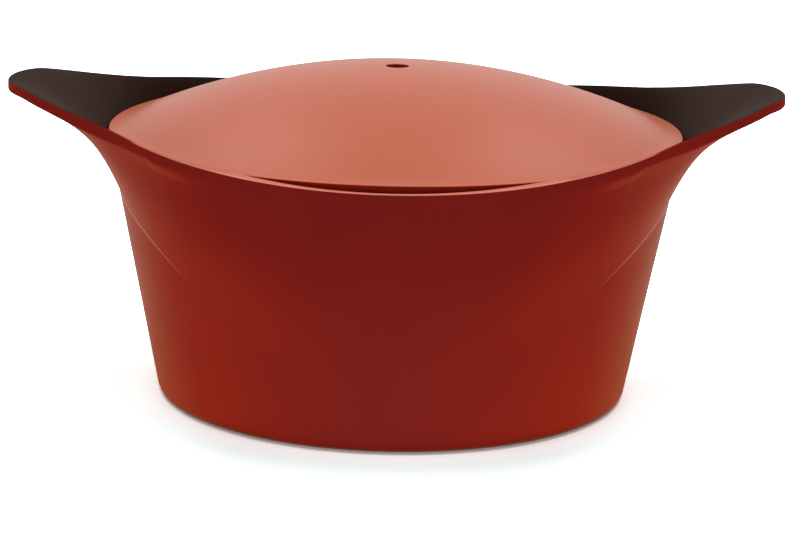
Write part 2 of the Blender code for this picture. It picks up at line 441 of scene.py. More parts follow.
def build_grain() -> None:
    """Powder-coat grain: a fine height from two noises, a slow tone, and sparse dark specks.

    A speck is the middle of a Voronoi cell whose own random number is above a limit.
    """
    starts = {"Place": "vector", "Fineness": 2600.0, "Specks": 0.05}
    sheet, takes, gives = new_group(Effect.GRAIN, starts, ("Height", "Tone", "Speck"))
    place = takes["Place"]
    fine = sheet.noise(place, takes["Fineness"], SOFT_DETAIL)
    slow = sheet.noise(place, SLOW_SCALE, FULL_DETAIL)
    mottle = sheet.noise(place, MOTTLE_SCALE, SOFT_DETAIL)
    cells = sheet.add("ShaderNodeTexVoronoi", {"Vector": place, "Scale": CELL_SCALE}).outputs
    random = sheet.add("ShaderNodeSeparateColor", {"Color": cells["Color"]}).outputs[0]
    chosen = sheet.maths("GREATER_THAN", random, sheet.maths("SUBTRACT", 1.0, takes["Specks"]))
    dot = sheet.ranged(cells["Distance"], SPECK_EDGE, (1.0, 0.0))
    height = sheet.maths("MULTIPLY_ADD", mottle, MOTTLE_IN_HEIGHT, fine)
    tone = sheet.maths("MULTIPLY_ADD", mottle, MOTTLE_IN_TONE, slow)
    speck = sheet.maths("MULTIPLY", dot, chosen)
    sheet.feed(gives, {"Height": height, "Tone": tone, "Speck": speck})


def build_painted_light() -> None:
    """Share of the painted light tone: the mesh's own mark, broken up by a noise."""
    starts = {"Place": "vector", "Mark": 0.0, "Break": 0.35}
    sheet, takes, gives = new_group(Effect.PAINTED_LIGHT, starts, ("Mask",))
    noise = sheet.noise(takes["Place"], BREAK_SCALE, FULL_DETAIL)
    kept = sheet.maths("SUBTRACT", 1.0, sheet.maths("MULTIPLY", noise, takes["Break"]))
    sheet.feed(gives, {"Mask": sheet.maths("MULTIPLY", takes["Mark"], kept)})


def build_turned() -> None:
    """Lines left by turning: a noise of one dimension, read at a distance times the fineness."""
    sheet, takes, gives = new_group(Effect.TURNED, {"Distance": 0.0, "Fineness": 900.0}, ("Height",))
    along = sheet.maths("MULTIPLY", takes["Distance"], takes["Fineness"])
    inputs = {"W": along, "Scale": 1.0, "Detail": FULL_DETAIL}
    noise = sheet.add("ShaderNodeTexNoise", inputs, noise_dimensions="1D")
    sheet.feed(gives, {"Height": noise.outputs["Fac"]})


class Paint:
    """A new material: its sheet of nodes, its Principled shader and its Object coordinates."""

    def __init__(self, name: str) -> None:
        """Start the material.

        Args:
            name: The material's name.
        """
        self.material = bpy.data.materials.new(name)
        self.material.use_nodes = True
        self.sheet = Sheet(self.material.node_tree)
        self.shader = self.material.node_tree.nodes["Principled BSDF"]
        self.place = self.sheet.add("ShaderNodeTexCoord").outputs["Object"]

    def mark(self) -> Socket:
        """Read the mesh's mark of painted light and shade."""
        return self.sheet.add("ShaderNodeAttribute", attribute_name="painted_light").outputs["Fac"]

    def powdered(self, colour: Socket, tone: Socket, depth: float, roughness: Pair) -> Socket:
        """Darken a colour by the grain's slow tone, and let the roughness follow the tone.

        Args:
            colour: The colour to darken.
            tone: The grain's slow tone.
            depth: How far the darkest places go towards black.
            roughness: The shader's roughness where the tone is lowest and highest.

        Returns:
            The darkened colour.
        """
        self.drive(Roughness=self.sheet.ranged(tone, TONE_RANGE, roughness))
        return self.sheet.blended(self.sheet.ranged(tone, TONE_RANGE, (depth, 0.0)), colour, BLACK)

    def raise_by(self, height: Socket, depth: Feed, base: Feed = 0.0) -> None:
        """Bump the surface by a height times its depth, on top of a base.

        Args:
            height: The height, from 0 to 1.
            depth: How many metres a height of 1 stands out.
            base: Height in metres that it is added to.
        """
        metres = self.sheet.maths("MULTIPLY_ADD", height, depth, base)
        bump = self.sheet.add("ShaderNodeBump", {"Height": metres, "Distance": 1.0})
        self.drive(Normal=bump.outputs["Normal"])

    def drive(self, **inputs) -> None:
        """Feed the shader's inputs, named with underscores for spaces."""
        self.sheet.feed(self.shader, {name.replace("_", " "): value for name, value in inputs.items()})


@dataclass(frozen=True)
class Enamel:
    """Satin sprayed enamel: deep, with painted light by the mesh's mark and a painted sheen seen aslant."""

    name: str
    colour: Colour
    # The painted light colour is the lit tone of tops and highlights; the next two are a painted sheen seen
    # aslant.
    painted_light_colour: Colour
    sheen_colour: Colour
    grazing_sheen_colour: Colour
    roughness: Pair
    ior: float
    break_up: float
    speck_share: float
    tone_depth: float
    turned_depth: float
    grain_depth: float
    # Facing values where the painted sheen turns warm and then grazing.
    sheen_end: float = 0.45
    grazing_sheen_end: float = 0.95
    speck_colour: Colour = (0.02, 0.004, 0.003, 1.0)
    speck_strength: float = 0.45
    turned_fineness: float = 520.0
    turned_reach: Pair = (0.012, 0.055)
    full_gloss: float = 0.5

    def material(self) -> Material:
        """Build the material: tone and specks in the colour, grain and turned lines in the height.

        The painted sheen, a warm tone and then a grazing one, comes in with the Facing value. A mark
        below 0 holds both back as painted shade, and the gloss too; above 0 it brings the painted light.

        Returns:
            The new material.
        """
        paint = Paint(self.name)
        sheet, place, mark = paint.sheet, paint.place, paint.mark()
        grain = sheet.effect(Effect.GRAIN, Place=place, Specks=self.speck_share)
        # Painted light where the mark is above 0, broken up by a noise.
        painted_light = sheet.maths("MAXIMUM", mark, 0.0)
        mask = sheet.effect(Effect.PAINTED_LIGHT, Place=place, Mark=painted_light, Break=self.break_up)["Mask"]
        edge_on = sheet.add("ShaderNodeLayerWeight").outputs["Facing"]
        # Share of the painted sheen and the gloss kept: a mark below 0 holds them back as painted shade.
        free = sheet.maths("ADD", 1.0, sheet.maths("MINIMUM", mark, 0.0))
        colour = self.colour
        starts, ends = (0.0, self.sheen_end), (self.sheen_end, self.grazing_sheen_end)
        # Painted sheen by the Facing value: warm, then grazing.
        for reach, aslant in zip((starts, ends), (self.sheen_colour, self.grazing_sheen_colour)):
            share = sheet.maths("MULTIPLY", free, sheet.ranged(edge_on, reach))
            colour = sheet.blended(share, colour, aslant)
        # Painted light colour over its mask.
        toned = sheet.blended(mask, colour, self.painted_light_colour)
        shaded = paint.powdered(toned, grain["Tone"], self.tone_depth, self.roughness)
        dot = sheet.maths("MULTIPLY", grain["Speck"], self.speck_strength)
        specked = sheet.blended(dot, shaded, self.speck_colour)
        level = sheet.axes(place)["Z"]
        lines = sheet.effect(Effect.TURNED, Distance=level, Fineness=self.turned_fineness)["Height"]
        low = sheet.ranged(level, self.turned_reach, (self.turned_depth, 0.0))
        paint.raise_by(lines, low, sheet.maths("MULTIPLY", grain["Height"], self.grain_depth))
        gloss = sheet.maths("MULTIPLY", sheet.maths("MULTIPLY", free, free), self.full_gloss)
        paint.drive(Base_Color=specked, Specular_IOR_Level=gloss, IOR=self.ior)
        return paint.material


@dataclass(frozen=True)
class Coating:
    """Matte dark coating with a fine powder grain, and a painted sheen and highlight by the mesh's mark."""

    name: str
    colour: Colour
    # Painted sheen towards the ear tips and painted highlight on the ears' edges, by the mesh's mark.
    coat_sheen_colour: Colour
    roughness: Pair
    ior: float
    fineness: float = 2200.0
    break_up: float = 0.35
    tone_depth: float = 0.14
    grain_depth: float = 0.000016

    def material(self) -> Material:
        """Build the material: a slow tone, a painted sheen and a painted edge highlight in the colour, grain
        in the height.

        Returns:
            The new material.
        """
        paint = Paint(self.name)
        sheet, place = paint.sheet, paint.place
        grain = sheet.effect(Effect.GRAIN, Place=place, Fineness=self.fineness, Specks=0.0)
        mask = sheet.effect(Effect.PAINTED_LIGHT, Place=place, Mark=paint.mark(), Break=self.break_up)["Mask"]
        # The painted sheen and highlight over their mask.
        coat_sheened = sheet.blended(mask, self.colour, self.coat_sheen_colour)
        shaded = paint.powdered(coat_sheened, grain["Tone"], self.tone_depth, self.roughness)
        paint.raise_by(grain["Height"], self.grain_depth)
        paint.drive(Base_Color=shaded, IOR=self.ior)
        return paint.material


@dataclass(frozen=True)
class TurnedSteel:
    """Bare steel with fine turned lines round the middle."""

    name: str
    colour: Colour
    roughness: Pair
    groove_tone: float = 0.8
    fineness: float = 2600.0
    line_range: Pair = (0.3, 0.7)
    line_depth: float = 0.000006

    def material(self) -> Material:
        """Build the material: lines by the distance from the axis, in height, tone and roughness.

        Returns:
            The new material.
        """
        paint = Paint(self.name)
        sheet = paint.sheet
        inputs = {0: paint.place, 1: (1.0, 1.0, 0.0)}
        flat = sheet.add("ShaderNodeVectorMath", inputs, operation="MULTIPLY").outputs["Vector"]
        away = sheet.distance(flat)
        lines = sheet.effect(Effect.TURNED, Distance=away, Fineness=self.fineness)["Height"]
        darker = tuple(part * self.groove_tone for part in self.colour[:3]) + (1.0,)
        toned = sheet.blended(sheet.ranged(lines, self.line_range), darker, self.colour)
        rough = sheet.ranged(lines, self.line_range, self.roughness)
        paint.raise_by(lines, self.line_depth)
        paint.drive(Base_Color=toned, Roughness=rough, Metallic=1.0)
        return paint.material


class Body(Enum):
    """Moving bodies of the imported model."""

    POT = "pot"
    LID = "lid"


def dress(piece: bpy.types.Object, material: Material, slot: str, body: Body, *nodes: str) -> None:
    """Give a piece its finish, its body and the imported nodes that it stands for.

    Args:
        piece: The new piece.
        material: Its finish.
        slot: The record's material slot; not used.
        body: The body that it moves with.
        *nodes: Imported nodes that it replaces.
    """
    piece.data.materials.append(material)
    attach(piece, body.value)
    if nodes:
        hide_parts(*nodes)
    LOG.info("%s: %d faces, rides on %s", piece.name, len(piece.data.polygons), body.value)


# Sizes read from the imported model

@dataclass(frozen=True)
class FrameSizes:
    """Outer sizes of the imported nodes."""

    lid_radius: float
    lid_bottom: float
    lid_crest: float
    tip_reach: float
    front_reach: float
    tip_level: float
    plate_radius: float
    plate_thickness: float

    @classmethod
    def measured(cls) -> "FrameSizes":
        """Read the sizes from the nodes' boxes.

        Returns:
            The sizes, in metres.
        """
        pot_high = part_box("pot_body")[1]
        lid_low, lid_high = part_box("lid")
        plate_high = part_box("induction_plate")[1]
        return cls(
            lid_radius=lid_high.x,
            lid_bottom=lid_low.z,
            lid_crest=lid_high.z,
            tip_reach=pot_high.x,
            front_reach=pot_high.y,
            tip_level=pot_high.z,
            plate_radius=plate_high.x,
            plate_thickness=plate_high.z,
        )


# Pot

@dataclass(frozen=True)
class SaddleRim:
    """Plan, height and flat top of the rim, by the angle from the nearer ear's axis."""

    sizes: FrameSizes
    seat_clearance: float = 0.0018
    bend_radius: float = 0.581
    shoulder_growth: float = 0.0046
    ear_spread: float = math.radians(19.4)
    ear_fall: float = 2.3
    tip_growth: float = 0.0004
    ear_edge: float = 0.0009
    front_range: Pair = degrees(45.0, 70.0)
    land_range: Pair = degrees(48.0, 62.0)
    droop_start: float = 0.153
    droop: float = 0.0017
    droop_power: float = 1.3

    @property
    def seat_radius(self) -> float:
        """Radius of the recess that takes the lid."""
        return self.sizes.lid_radius + self.seat_clearance

    @property
    def height(self) -> float:
        """Rim's height on the axis of its bend, which is the front's own height."""
        return self.sizes.tip_level - self.sizes.tip_reach ** 2 / (2.0 * self.bend_radius)

    @property
    def ear_tip(self) -> float:
        """How far the ear's tip reaches."""
        return self.sizes.tip_reach + self.tip_growth

    def reach(self, angle: Length) -> Length:
        """Outer radius: the front's, plus an eased shoulder, plus the ear's bell, exp(-(a/spread)^fall).

        Args:
            angle: Angle a from the nearer ear's axis.

        Returns:
            Distance of the rim's outer edge from the axis.
        """
        length = self.ear_tip - self.sizes.front_reach - self.shoulder_growth
        shoulder = rise(angle, QUARTER_TURN, self.front_range[0])
        ear = bell(angle, 0.0, self.ear_spread, self.ear_fall)
        return self.sizes.front_reach + self.shoulder_growth * shoulder + length * ear

    def tip_share(self, angle: Length) -> Length:
        """0 up to where the ear's end starts to droop, then rising along X to 1 at its tip."""
        return ramp(self.reach(angle) * np.cos(angle), self.droop_start, self.ear_tip)

    def level(self, angle: Length) -> Length:
        """Height: a parabola along X, x^2 over twice the bend's radius, less the tip's droop."""
        bend = (self.reach(angle) * np.cos(angle)) ** 2 / (2.0 * self.bend_radius)
        return self.height + bend - self.droop * self.tip_share(angle) ** self.droop_power

    def front_share(self, angle: Length) -> Length:
        """0 along the ear and its shoulder, 1 across the plain front."""
        return rise(angle, *self.front_range)

    def land_share(self, angle: Length) -> Length:
        """0 on the ear, 1 where all of the rim's top is flat."""
        return rise(angle, *self.land_range)

    def land_width(self, angle: Length) -> Length:
        """Width of the rim's flat top."""
        return between(self.ear_edge, self.reach(angle) - self.seat_radius, self.land_share(angle))


@dataclass
class Pot:
    """The casting: base, leaning wall, flare, banded rim with two ears, seat and cooking space."""

    sizes: FrameSizes
    rim: SaddleRim
    turns: int = 360
    base_radius: float = 0.0993
    base_corner: float = 0.0035
    wall_thickness: float = 0.0042
    floor_thickness: float = 0.006
    floor_corner: float = 0.014
    seat_depth: float = 0.0025
    seat_wall: float = 0.0012
    crown_share: float = 0.6
    edge_round: float = 0.0005
    band_height: float = 0.0037
    shoulder_band_height: float = 0.0045
    deep_band_growth: float = 0.0011
    deep_band_angle: float = math.radians(26.0)
    deep_band_spread: float = math.radians(7.5)
    tip_band_growth: float = 0.0005
    band_round: float = 0.0007
    soft_round: float = 0.0017
    notch_range: Pair = degrees(40.8, 43.8)
    flare_start_share: float = 0.81
    flare_fall_share: float = 0.93
    flare_lowest_share: float = 0.18
    flare_blend_share: float = 0.12
    flare_kink_share: float = 0.375
    flare_kink_round: float = 0.03
    flare_rise_power: float = 3.9
    flare_trim_share: float = 0.072
    crease_height: float = 0.00009
    crease_width: float = 0.00065
    crease_range: Pair = degrees(46.5, 24.0)
    touch_gap: float = 0.0003
    inner_round: float = 0.0003
    coat_proud: float = 0.00012
    coat_sunk: float = 0.0001
    coat_start_share: float = 0.1
    coat_range: Pair = degrees(27.0, 32.0)
    # Painted highlight on the rim's rounded edge, coming in across the shoulders.
    highlight_edge_range: Pair = degrees(33.0, 39.0)
    highlight_edge_share: float = 0.7
    arc_end_share: float = 0.12
    land_end_share: float = 0.24
    # Share of the painted highlight kept on the land's inner part.
    land_mark: float = 0.6
    # Painted shade on the flare and band, which holds back the painted sheen there.
    flare_mark: float = -0.85
    ear_flare_mark: float = -0.5
    flare_mark_range: Pair = (0.2, 0.8)
    # Painted highlight: a lighter strip just under the band on the ear's shoulders.
    highlight_strip_mark: float = -0.2
    highlight_strip_share: float = 0.008
    highlight_strip_angle: float = math.radians(46.0)
    highlight_strip_spread: float = math.radians(6.5)
    band_mark: float = -0.8
    # Painted sheen on the dark coat, growing out towards the ear tips.
    coat_sheen_mark: float = 0.43
    coat_sheen_range: Pair = (0.1, 0.145)
    run_in: float = 0.02
    floor_start: float = 0.97
    recess_end: float = 0.98
    recess_steps: int = 4
    wall_steps: int = 24
    flare_steps: int = 44
    top_steps: int = 46
    shell_steps: tuple[int, int] = (10, 6)
    coat_steps: tuple[int, int] = (8, 5)
    coat_feather: int = 3
    # How fast the rim's painted highlight comes in over the edge and eases off over the land.
    land_turn: float = 3.0
    edge_turn: float = 1.6

    def __post_init__(self) -> None:
        """Work out the azimuths and the sizes that every run uses."""
        self.azimuths = even_azimuths(self.turns)
        self.angle = np.arctan2(np.abs(np.sin(self.azimuths)), np.abs(np.cos(self.azimuths)))
        self.lean = (self.sizes.lid_radius - self.base_radius) / self.rim.height
        self.tilt = math.atan(self.lean)
        self.seat_height = self.rim.height - self.seat_depth
        self.reach = self.rim.reach(self.angle)
        self.level = self.rim.level(self.angle)
        self.front = self.rim.front_share(self.angle)
        self.notch = rise(self.angle, *self.notch_range)
        self.front_held = rise(self.angle, self.highlight_edge_range[0], self.rim.land_range[1])

    def wall_radius(self, height: Length) -> Length:
        """Outer radius of the plain leaning wall."""
        return self.base_radius + self.lean * height

    def round_centre(self, radius: float, level: float, corner: float) -> Pair:
        """Middle of the round that joins a flat, which would reach the radius, to the leaning wall."""
        return radius - corner * math.tan(0.5 * (QUARTER_TURN - self.tilt)), level + corner

    def band_foot(self) -> tuple[Array, Array]:
        """Place the band's lower edge: the band is deeper on the ear's sides, by a bell, and at its tip.

        Returns:
            Its radius and height on each azimuth.
        """
        band = between(self.band_height, self.shoulder_band_height, self.notch)
        deep = bell(self.angle, self.deep_band_angle, self.deep_band_spread)
        band = band + self.deep_band_growth * deep + self.tip_band_growth * self.rim.tip_share(self.angle)
        return self.reach - self.front * self.lean * band, self.level - band

    def flare_foot(self) -> Array:
        """Place the foot of the flare, highest under the ear, with a rounded lower limit.

        Returns:
            Height where the wall starts to turn out, on each azimuth.
        """
        falling = self.flare_start_share - self.flare_fall_share * (1.0 - np.cos(self.angle))
        gap = falling - self.flare_lowest_share
        smooth_gap = soft_greater(gap, 0.0, self.flare_blend_share)
        return self.rim.height * (self.flare_lowest_share + smooth_gap)

    def flare(self, share: Array) -> tuple[Array, Array]:
        """Points from the wall out to the band, by the share of the way up.

        Under an ear the way out is a rounded kink and a turn, kink s + (1 - kink) s^rise, and at the
        front it is an eased share.

        Args:
            share: Share of the way from the foot to the band, one row per azimuth.

        Returns:
            Radii and heights.
        """
        top_radius, top_height = self.band_foot()
        blend = self.flare_kink_round
        kink = (np.hypot(share, blend) - blend) / (math.hypot(1.0, blend) - blend)
        ear_share = between(share ** self.flare_rise_power, kink, self.flare_kink_share)
        out = between(ear_share, ease(share), column(self.front))
        heights = between(column(self.flare_foot()), column(top_height), share)
        spread = column(top_radius - self.wall_radius(top_height))
        return self.wall_radius(heights) + spread * out, heights

    def top(self, along: Array) -> tuple[Array, Array]:
        """Points over the rim's top: its rounded edge, its flat land, then the ear's crowned slope.

        Args:
            along: From 0 at the foot of the rounded edge to 1 at the seat's wall, one row per azimuth.

        Returns:
            Radii and heights.
        """
        reach, level = column(self.reach), column(self.level)
        land = column(self.rim.land_width(self.angle))
        turn = QUARTER_TURN * ramp(along, 0.0, self.arc_end_share)
        arc_radius = reach - self.edge_round * (1.0 - np.cos(turn))
        arc_height = level - self.edge_round * (1.0 - np.sin(turn))
        flat = ramp(along, self.arc_end_share, self.land_end_share)
        land_radius = between(reach - self.edge_round, reach - land, flat)
        slope = ramp(along, 1.0, self.land_end_share)
        crowned = slope + self.crown_share * slope * (1.0 - slope)
        ear_radius = between(self.rim.seat_radius, reach - land, slope)
        ear_height = between(self.seat_height + self.seat_wall, level, crowned)
        on_arc, on_land = along < self.arc_end_share, along < self.land_end_share
        radii = np.where(on_arc, arc_radius, np.where(on_land, land_radius, ear_radius))
        heights = np.where(on_arc, arc_height, np.where(on_land, level, ear_height))
        return radii, heights

    def inside(self, outline: Outline, steps: tuple[int, int]) -> None:
        """Append the seat, the cooking space's wall, its rounded foot and its floor.

        Args:
            outline: The section that it goes on.
            steps: Steps down the wall, and along the floor to the axis.
        """
        seat = (self.rim.seat_radius, self.seat_height)
        mouth = (self.wall_radius(self.seat_height) - self.wall_thickness, self.seat_height)
        level, corner = self.floor_thickness, self.floor_corner
        centre = self.round_centre(self.wall_radius(level) - self.wall_thickness, level, corner)
        across, down = corner * math.cos(self.tilt), corner * math.sin(self.tilt)
        foot = (centre[0] + across, centre[1] - down)
        outline.corner((seat[0], seat[1] + self.seat_wall), seat, mouth, self.inner_round)
        outline.corner(seat, mouth, foot, 2.0 * self.inner_round)
        outline.line(between_points(mouth, foot, self.run_in), foot, steps[0])
        outline.arc(centre, corner, (-self.tilt, -QUARTER_TURN), ARC_STEPS)
        outline.line((centre[0] * self.floor_start, level), (0.0, level), steps[1])

    def section(self) -> Outline:
        """Run from the middle of the base out, up, over the rim and in to the floor's middle.

        Returns:
            The whole section.
        """
        outline = Outline(self.azimuths)
        recess = (self.sizes.plate_radius + self.touch_gap, self.sizes.plate_thickness + self.touch_gap)
        centre = self.round_centre(self.base_radius, 0.0, self.base_corner)
        outline.line((0.0, recess[1]), (recess[0] * self.recess_end, recess[1]), self.recess_steps)
        step = ((0.0, recess[1]), recess, (recess[0], 0.0), (centre[0], 0.0))
        outline.corners(step, self.inner_round)
        outline.arc(centre, self.base_corner, (-QUARTER_TURN, -self.tilt), ARC_STEPS)
        wall_foot = self.base_corner * (1.0 - math.sin(self.tilt))
        foot = self.flare_foot()
        strength = rise(self.angle, *self.crease_range)
        heights = between(wall_foot, column(foot - self.crease_width), shares(self.wall_steps)[1:])
        outline.add(self.wall_radius(heights), heights)
        # The crease's ridge has a small real height and a painted highlight mark, strongest under the ear.
        ridge = self.wall_radius(foot) + self.crease_height * strength
        outline.add(column(ridge), column(foot), column(strength))
        self.add_flare(outline)
        self.add_rim(outline)
        self.inside(outline, self.shell_steps)
        return outline

    def add_flare(self, outline: Outline) -> None:
        """Append the flare, from just above the crease, and the band's rounded foot.

        Args:
            outline: The section that it goes on.
        """
        foot = self.band_foot()
        start = self.crease_width / (foot[1] - self.flare_foot())
        end = 1.0 - self.flare_trim_share * (1.0 - self.front)
        share = between(column(start), column(end), np.sin(QUARTER_TURN * shares(self.flare_steps)))
        radii, heights = self.flare(share)
        # Painted highlight strip under the band, on the shoulders.
        lit = column(bell(self.angle, self.highlight_strip_angle, self.highlight_strip_spread))
        highlight_strip = lit * bell(share, column(end), self.highlight_strip_share)
        # Painted shade: the flare holds back the painted sheen, less so under the ear.
        held = rise(share, *self.flare_mark_range)
        flare_mark = between(self.ear_flare_mark, self.flare_mark, column(self.front_held))
        mark = between(flare_mark * held, self.highlight_strip_mark, highlight_strip)
        outline.add(radii, heights, mark)
        last = (radii[:, -1], heights[:, -1])
        size = between(self.band_round, self.soft_round, self.notch)
        top = (self.reach, self.level - self.edge_round)
        foot_mark = between(flare_mark, self.highlight_strip_mark, lit)
        corner_mark = between(foot_mark, self.band_mark, ease(shares(ROUND_STEPS)))
        outline.corner(last, foot, top, size, corner_mark)

    def add_rim(self, outline: Outline) -> None:
        """Append the top of the rim down to the seat's wall, with a painted highlight on its edge, then on
        its land.

        Args:
            outline: The section that it goes on.
        """
        along = np.broadcast_to(shares(self.top_steps), (self.turns, self.top_steps + 1))
        radii, heights = self.top(along)
        # Painted highlight on the rounded edge and the land; the band below keeps painted shade.
        edge = rise(self.angle, *self.highlight_edge_range)
        painted_light = np.maximum(self.rim.land_share(self.angle), self.highlight_edge_share * edge)
        land_width = self.land_end_share - self.arc_end_share
        inward = ease(self.land_turn * (along - self.arc_end_share) / land_width)
        tone = column(painted_light) * between(1.0, self.land_mark, inward)
        over = ease(self.edge_turn * along / self.arc_end_share)
        mark = between(self.band_mark, tone, column(edge) * over)
        outline.add(radii, heights, mark * (along <= self.land_end_share))

    def coat(self) -> Outline:
        """Lay the dark coat, which covers the ears' tops and the whole inside.

        Its free edge follows the rim's outer edge on the ears, crosses the land at the shoulders and
        follows the seat's wall across the front and back.

        Returns:
            The coat's section.
        """
        path = Outline(self.azimuths)
        crossing = rise(self.angle, *self.coat_range)
        start = column(between(self.coat_start_share, self.land_end_share, crossing))
        along = between(start, 1.0, shares(self.top_steps))
        radii, heights = self.top(along)
        # Coat marks: a painted highlight on the ears' rounded edge, and a painted sheen growing out towards
        # the tips.
        edge = ease(1.0 - np.abs(along - 0.5 * self.arc_end_share) / (0.5 * self.arc_end_share))
        out = rise(radii * np.abs(column(np.cos(self.azimuths))), *self.coat_sheen_range)
        path.add(radii, heights, np.maximum(edge * column(1.0 - crossing), self.coat_sheen_mark * out))
        self.inside(path, self.coat_steps)
        return self.coated(path)

    def coated(self, path: Outline) -> Outline:
        """Lay the coat's thickness on a surface."""
        return skin(path, self.coat_proud, self.coat_sunk, self.coat_feather)

    def build(self, enamel: Material, coat: Material) -> None:
        """Build the enamelled casting and its dark coat.

        Args:
            enamel: Finish of the casting.
            coat: Finish of its inside and of the ears' tops.
        """
        dress(loft("pot_shell", self.section(), Ends.POLES), enamel, "red_enamel", Body.POT, "pot_body")
        dress(loft("pot_coating", self.coat(), Ends.POLES), coat, "black_coating", Body.POT)


# Lid

@dataclass
class Lid:
    """The loose lid: a flat-bowed dome with a flatter brim, a steam hole and a short skirt below."""

    sizes: FrameSizes
    pot: Pot
    turns: int = 360
    thickness: float = 0.004
    skirt_depth: float = 0.003
    skirt_width: float = 0.0026
    skirt_clearance: float = 0.0012
    edge_round: float = 0.001
    drop_radius: float = 0.107
    dome_drop: float = 0.0217
    brim_width: float = 0.0062
    brim_slope: float = 0.268
    brim_blend: float = 0.0012
    # Marks: the top is painted light; the side and the steam hole get none of it, and less gloss.
    side_mark: float = -0.7
    lit_top_mark: float = 0.8
    vent_mark: float = -0.95
    vent_radius: float = 0.0045
    lip_round: float = 0.0007
    corner_round: float = 0.0004
    coat_margin: float = 0.001
    roof_steps: int = 40
    ledge_start: float = 0.4
    ledge_steps: int = 4
    edge_steps: int = 8
    brim_steps: int = 16
    dome_steps: int = 60
    # How fast the painted highlight comes in over the edge's round and fades over the lip.
    side_turn: float = 3.0
    side_hold: float = 0.9
    lip_turn: float = 2.0

    def __post_init__(self) -> None:
        """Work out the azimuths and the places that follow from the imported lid."""
        self.azimuths = even_azimuths(self.turns)
        self.underside = self.sizes.lid_bottom + self.skirt_depth
        self.crest = self.sizes.lid_crest
        mouth = self.pot.wall_radius(self.pot.seat_height) - self.pot.wall_thickness
        self.skirt_radius = mouth - self.skirt_clearance
        self.skirt_inside = self.skirt_radius - self.skirt_width

    def skin_height(self, radius: Length) -> Length:
        """Height of the outer skin: the crest less a parabola, and a straight slope along the brim.

        Args:
            radius: Distance from the axis.

        Returns:
            The height there.
        """
        brim_start = self.sizes.lid_radius - self.brim_width
        beyond = soft_greater(radius - brim_start, 0.0, self.brim_blend)
        dome = self.crest - self.dome_drop * ((radius - beyond) / self.drop_radius) ** 2
        return dome - self.brim_slope * beyond

    def inner_path(self) -> Outline:
        """Run under the lid from the steam hole out, down and round the skirt, and along the flat ledge.

        Returns:
            The path that the dark coat lies on.
        """
        path = Outline(self.azimuths)
        radii = between(self.vent_radius + self.coat_margin, self.skirt_inside, shares(self.roof_steps))
        path.add(radii, self.skin_height(radii) - self.thickness)
        roof = (radii[-1], self.skin_height(radii[-1]) - self.thickness)
        low = self.underside - self.skirt_depth
        inner, outer = (self.skirt_inside, low), (self.skirt_radius, low)
        step = (self.skirt_radius, self.underside)
        flat = (self.sizes.lid_radius - 2.0 * self.edge_round, self.underside)
        path.corners((roof, inner, outer, step, flat), self.corner_round)
        path.line(between_points(step, flat, self.ledge_start), flat, self.ledge_steps)
        return path

    def section(self) -> Outline:
        """Run out under the lid from the hole, round the edge, and back over the dome.

        Returns:
            The whole section.
        """
        edge = self.sizes.lid_radius - self.edge_round
        outline = Outline(self.azimuths)
        floor = self.skin_height(self.vent_radius) - self.thickness
        outline.add(np.array([self.vent_radius]), np.array([floor]), self.vent_mark)
        under = self.inner_path()
        for run in zip(under.radii, under.heights, under.marks):
            outline.add(*run)
        low_centre = (edge, self.underside + self.edge_round)
        outline.arc(low_centre, self.edge_round, (-QUARTER_TURN, 0.0), ROUND_STEPS, self.side_mark)
        edge_top = self.skin_height(edge) - self.edge_round
        turn = QUARTER_TURN - math.atan(self.brim_slope)
        # Over the edge's upper round the mark climbs from the plain side to a painted highlight.
        up = ease(self.side_turn * shares(self.edge_steps) - self.side_hold)
        side = between(self.side_mark, 1.0, up)
        outline.arc((edge, edge_top), self.edge_round, (0.0, turn), self.edge_steps, side)
        start = edge + self.edge_round * math.cos(turn)
        brim = between(start, edge - self.brim_width, shares(self.brim_steps))[1:]
        lip = self.vent_radius + self.lip_round
        dome = between(brim[-1], lip, shares(self.dome_steps))[1:]
        # Brim and dome take the painted light of the lit top.
        for run in (brim, dome):
            outline.add(run, self.skin_height(run), self.lit_top_mark)
        lip_centre = (lip, self.skin_height(lip) - self.lip_round)
        # The lip round fades from the painted light to the hole's plain colour.
        lip_mark = between(self.lit_top_mark, self.vent_mark, ease(self.lip_turn * shares(ROUND_STEPS)))
        outline.arc(lip_centre, self.lip_round, (QUARTER_TURN, math.pi), ROUND_STEPS, lip_mark)
        return outline

    def build(self, enamel: Material, coat: Material) -> None:
        """Build the enamelled lid and the dark coat under it.

        Args:
            enamel: Finish of the lid.
            coat: Finish of its underside.
        """
        dress(loft("lid_shell", self.section(), Ends.RING), enamel, "lid_enamel", Body.LID, "lid")
        under = self.pot.coated(self.inner_path())
        dress(loft("lid_coating", under, Ends.RING), coat, "black_coating", Body.LID)


# Base disc

@dataclass
class BaseDisc:
    """Steel disc in the base, with shallow turned steps in its face."""

    sizes: FrameSizes
    turns: int = 240
    edge_round: float = 0.0003
    groove_depth: float = 0.00012
    groove_pitch: float = 0.004
    face_steps: int = 160
    back_start: float = 0.9
    back_steps: int = 3

    def build(self, steel: Material) -> None:
        """Build the disc: its face waves by a raised cosine of the distance from the axis.

        Args:
            steel: Finish of the disc.
        """
        outline = Outline(even_azimuths(self.turns))
        radius, thickness = self.sizes.plate_radius, self.sizes.plate_thickness
        face = between(0.0, radius - 2.0 * self.edge_round, shares(self.face_steps))
        wave = 0.5 - 0.5 * np.cos(2.0 * math.pi * face / self.groove_pitch)
        outline.add(face, self.groove_depth * wave ** 2)
        edge = ((0.0, 0.0), (radius, 0.0), (radius, thickness), (0.0, thickness))
        outline.corners(edge, self.edge_round)
        outline.line((self.back_start * radius, thickness), (0.0, thickness), self.back_steps)
        dress(loft("base_disc", outline, Ends.POLES), steel, "base_steel", Body.POT, "induction_plate")


# Studio

